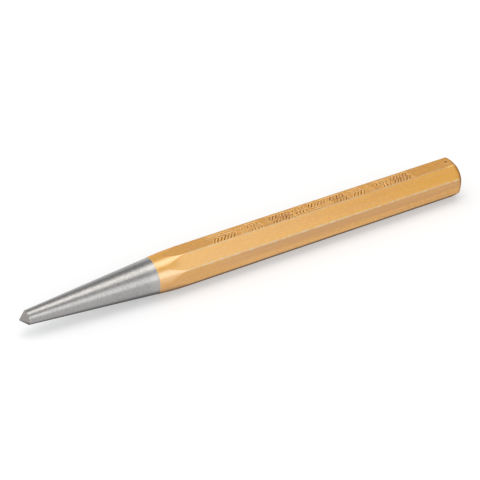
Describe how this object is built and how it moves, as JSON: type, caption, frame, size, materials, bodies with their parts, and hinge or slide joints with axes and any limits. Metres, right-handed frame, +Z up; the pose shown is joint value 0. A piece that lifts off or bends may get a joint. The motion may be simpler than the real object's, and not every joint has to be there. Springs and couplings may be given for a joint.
{
  "type": "center punch",
  "caption": "Octagonal steel hand punch with a long ground cone, a blunt conical point for marking hole centres, and a bevelled, crowned striking head.",
  "frame": {"origin": "under the middle of the punch's length, on the plane that it lies on", "axes": "+X along the bar's axis from the point to the head, +Z up and square to the flat that it lies on, -Y towards the side that the picture shows"},
  "size_m": [0.1, 0.008, 0.008],
  "materials": {
    "lacquer": "satin gold lacquer over drawn steel",
    "ground_steel": "bare steel, ground round the axis"
  },
  "bodies": {
    "root": {"center_punch": "lacquer"}
  },
  "joints": []
}
